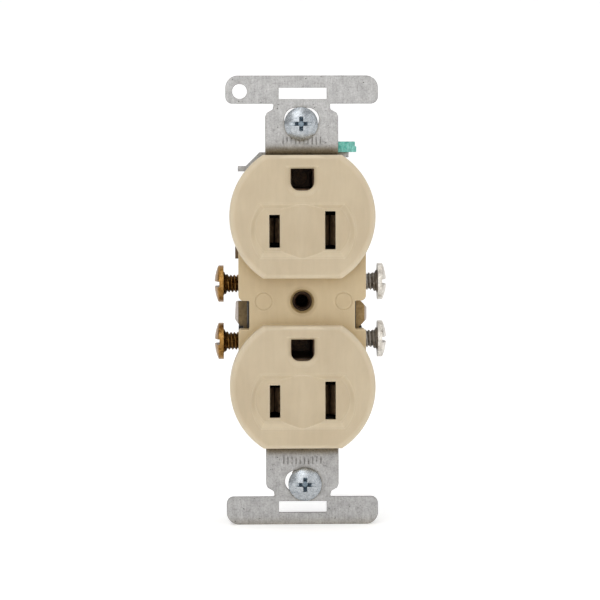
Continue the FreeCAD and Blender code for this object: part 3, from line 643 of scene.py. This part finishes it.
# ---------------------------------------------------------------- stage, light and camera
# Metres here, unless MM is written.
SWEEP_HALF_WIDTH = 3.0
SWEEP_FRONT_Y = -2.5
SWEEP_BEND_Y = 0.6
SWEEP_BEND_RADIUS = 0.8
SWEEP_BEND_STEPS = 12
SWEEP_HEIGHT = 3.0
SWEEP_GLOW = 0.24

ROOM_STRENGTH = 0.50
BACKDROP_SEEN = 0.86  # past the sweep's edge, so that low views have no dark horizon
SOFTBOXES = (  # name, position, size, watts
    ("key", (-0.25, -1.4, 0.5), (1.3, 1.1), 7.2),
    ("fill", (0.9, -1.0, 0.35), (0.9, 1.1), 2.4),
    ("high", (-0.3, -0.95, 1.1), (0.7, 0.5), 2.6),
    ("top", (0.0, 0.1, 1.4), (1.4, 1.2), 4.5),
)

PHOTO_AZIMUTH, PHOTO_ELEVATION, PHOTO_ROLL = -1.6, 3.3, -0.12  # degrees
PHOTO_FIELD = 12.97  # degrees
PHOTO_DISTANCE = 0.600
PHOTO_AIM = (-0.64 * MM, -7.2 * MM, 0.57 * MM)
SENSOR_MM = 36


def stage_sweep():
    """Pale floor that curves up into a backdrop."""
    floor_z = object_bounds()[0][2]
    g = Graph("pale_sweep")
    shade = g.ramp(g.noise(0.01, 2, 0.5), (0.3, 0.93), (0.7, 0.96))
    g.set(Base_Color=shade, Roughness=0.9, Emission_Color=(1, 1, 1, 1), Emission_Strength=SWEEP_GLOW)
    profile = [(SWEEP_FRONT_Y, 0.0), (SWEEP_BEND_Y, 0.0)]
    for step in range(1, SWEEP_BEND_STEPS + 1):
        angle = math.radians(90 * step / SWEEP_BEND_STEPS)
        y = SWEEP_BEND_Y + SWEEP_BEND_RADIUS * math.sin(angle)
        profile.append((y, SWEEP_BEND_RADIUS - SWEEP_BEND_RADIUS * math.cos(angle)))
    profile.append((SWEEP_BEND_Y + SWEEP_BEND_RADIUS, SWEEP_HEIGHT))
    mesh = bpy.data.meshes.new("sweep")
    sides = (-SWEEP_HALF_WIDTH, SWEEP_HALF_WIDTH)
    points = [(x, y, floor_z + z) for y, z in profile for x in sides]
    faces = [(2 * i, 2 * i + 1, 2 * i + 3, 2 * i + 2) for i in range(len(profile) - 1)]
    mesh.from_pydata(points, [], faces)
    for polygon in mesh.polygons:
        polygon.use_smooth = True
    mesh.materials.append(g.material)
    sweep = bpy.data.objects.new("sweep", mesh)
    bpy.context.scene.collection.objects.link(sweep)


def softbox(name, position, size, watts):
    """Rectangular light that faces the device."""
    light = bpy.data.lights.new(name, "AREA")
    light.shape = "RECTANGLE"
    light.size, light.size_y = size
    light.energy = watts
    lamp = bpy.data.objects.new(name, light)
    lamp.location = position
    lamp.rotation_euler = (-Vector(position)).to_track_quat("-Z", "Y").to_euler()
    bpy.context.scene.collection.objects.link(lamp)


def surroundings():
    """Soft room: bright above, dimmer below, and a darker patch where the camera stands."""
    world = bpy.data.worlds.new("studio")
    world.use_nodes = True
    tree = world.node_tree

    def eased(value, from_range, to_range):
        node = tree.nodes.new("ShaderNodeMapRange")
        tree.links.new(value, node.inputs["Value"])
        node.inputs["From Min"].default_value, node.inputs["From Max"].default_value = from_range
        node.inputs["To Min"].default_value, node.inputs["To Max"].default_value = to_range
        return node.outputs[0]

    def combined(how, a, b):
        node = tree.nodes.new("ShaderNodeMath")
        node.operation = how
        tree.links.new(a, node.inputs[0])
        if hasattr(b, "links"):
            tree.links.new(b, node.inputs[1])
        else:
            node.inputs[1].default_value = b
        return node.outputs[0]

    coords = tree.nodes.new("ShaderNodeTexCoord")
    split = tree.nodes.new("ShaderNodeSeparateXYZ")
    tree.links.new(coords.outputs["Generated"], split.inputs[0])
    above = eased(split.outputs["Z"], (-0.7, 0.8), (0.55, 1.15))
    behind_camera = eased(split.outputs["Y"], (-0.98, -0.75), (0.35, 1.0))
    light = combined("MULTIPLY", combined("MULTIPLY", above, behind_camera), ROOM_STRENGTH)
    seen = tree.nodes.new("ShaderNodeLightPath").outputs["Is Camera Ray"]
    strength = combined("MAXIMUM", light, combined("MULTIPLY", seen, BACKDROP_SEEN))
    back = tree.nodes["Background"]
    tree.links.new(strength, back.inputs[1])
    back.inputs[0].default_value = (1.0, 0.995, 0.985, 1)
    bpy.context.scene.world = world


def photo_camera():
    """Camera in front of the faces, a little above and to the left, with a slight roll."""
    azimuth, elevation = math.radians(PHOTO_AZIMUTH), math.radians(PHOTO_ELEVATION)
    camera = bpy.data.cameras.new("camera")
    camera.sensor_width = SENSOR_MM
    camera.lens = SENSOR_MM / 2 / math.tan(math.radians(PHOTO_FIELD) / 2)
    camera.clip_start = 0.01
    holder = bpy.data.objects.new("camera", camera)
    flat = math.cos(elevation)
    away = Vector((math.sin(azimuth) * flat, -math.cos(azimuth) * flat, math.sin(elevation)))
    holder.location = Vector(PHOTO_AIM) + away * PHOTO_DISTANCE
    roll = Matrix.Rotation(math.radians(PHOTO_ROLL), 3, "Z")
    turn = (-away).to_track_quat("-Z", "Y").to_matrix() @ roll
    holder.rotation_euler = turn.to_euler()
    bpy.context.scene.collection.objects.link(holder)
    bpy.context.scene.camera = holder


bpy.context.scene.view_settings.view_transform = "Standard"
stage_sweep()
surroundings()
for row in SOFTBOXES:
    softbox(*row)
photo_camera()
